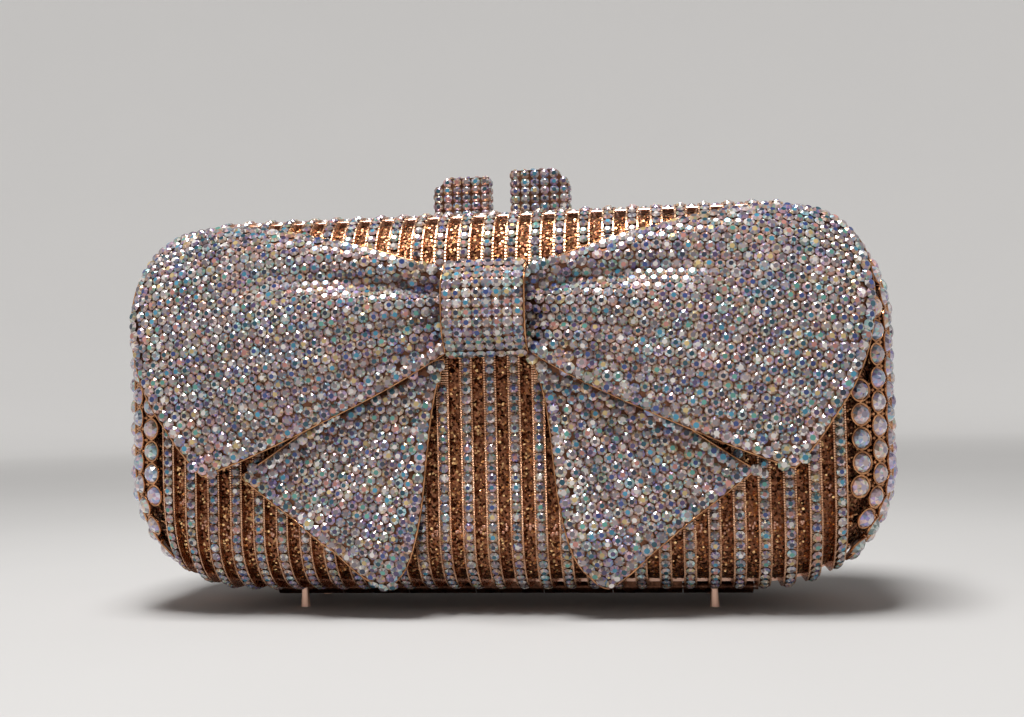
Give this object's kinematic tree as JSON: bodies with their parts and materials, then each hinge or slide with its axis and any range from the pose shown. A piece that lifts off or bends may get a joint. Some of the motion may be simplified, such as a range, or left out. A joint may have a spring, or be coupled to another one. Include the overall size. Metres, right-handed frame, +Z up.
{
  "type": "minaudiere",
  "caption": "Rigid rose-gold box clutch with stone-set ribs, crystal lattice ends and a large pavé bow; two halves hinge at the base and a squeeze clasp closes the ridge.",
  "frame": {"origin": "on the floor under the middle of the whole part's outline", "axes": "+X to the right of the bow, +Y to the back, +Z up; the bow faces -Y"},
  "size_m": [0.1736, 0.0593, 0.0999],
  "materials": {
    "rose_gold": "polished rose-gold plating",
    "stone_set_metal": "rose-gold metal set with small iridescent stones",
    "end_crystal": "clear iridescent crystal",
    "glitter_liner": "copper glitter on a moulded tray",
    "suede_lining": "soft suede cloth",
    "steel_fitting": "plain metal fittings"
  },
  "bodies": {
    "back_half": {"back_ribs": "rose_gold", "back_rim": "rose_gold", "back_liner": "glitter_liner", "back_lining": "suede_lining", "back_lattice_left": "rose_gold", "back_lattice_right": "rose_gold", "back_crystals_left": "end_crystal", "back_crystals_right": "end_crystal", "back_feet": "rose_gold", "back_knuckles": "rose_gold", "hinge_pin": "steel_fitting", "latch_guide": "steel_fitting", "latch_spring": "steel_fitting"},
    "front_half": {"front_ribs": "rose_gold", "front_rim": "rose_gold", "front_liner": "glitter_liner", "front_lining": "suede_lining", "front_lattice_left": "rose_gold", "front_lattice_right": "rose_gold", "front_crystals_left": "end_crystal", "front_crystals_right": "end_crystal", "front_feet": "rose_gold", "front_knuckles": "rose_gold", "clasp_fixed_block": "stone_set_metal", "clasp_nuts": "steel_fitting", "strike_plate": "steel_fitting", "bow_loop_left": "stone_set_metal", "bow_loop_right": "stone_set_metal", "bow_tail_left": "stone_set_metal", "bow_tail_right": "stone_set_metal", "bow_knot": "stone_set_metal", "bow_posts": "rose_gold"},
    "clasp_slide": {"clasp_slide_block": "stone_set_metal", "latch_plate": "steel_fitting", "latch_screw": "steel_fitting"}
  },
  "joints": [
    {"name": "case_opening", "type": "hinge", "parent": "back_half", "child": "front_half", "pos_m": [0, 0.0045, 0.003], "axis": [1, 0, 0], "range_deg": [0, 75]},
    {"name": "clasp_squeeze", "type": "slide", "parent": "back_half", "child": "clasp_slide", "axis": [1, 0, 0], "range_m": [0, 0.0035], "stiffness_N_per_m": 300, "springref_m": -0.002, "deforming": ["latch_spring"]}
  ]
}
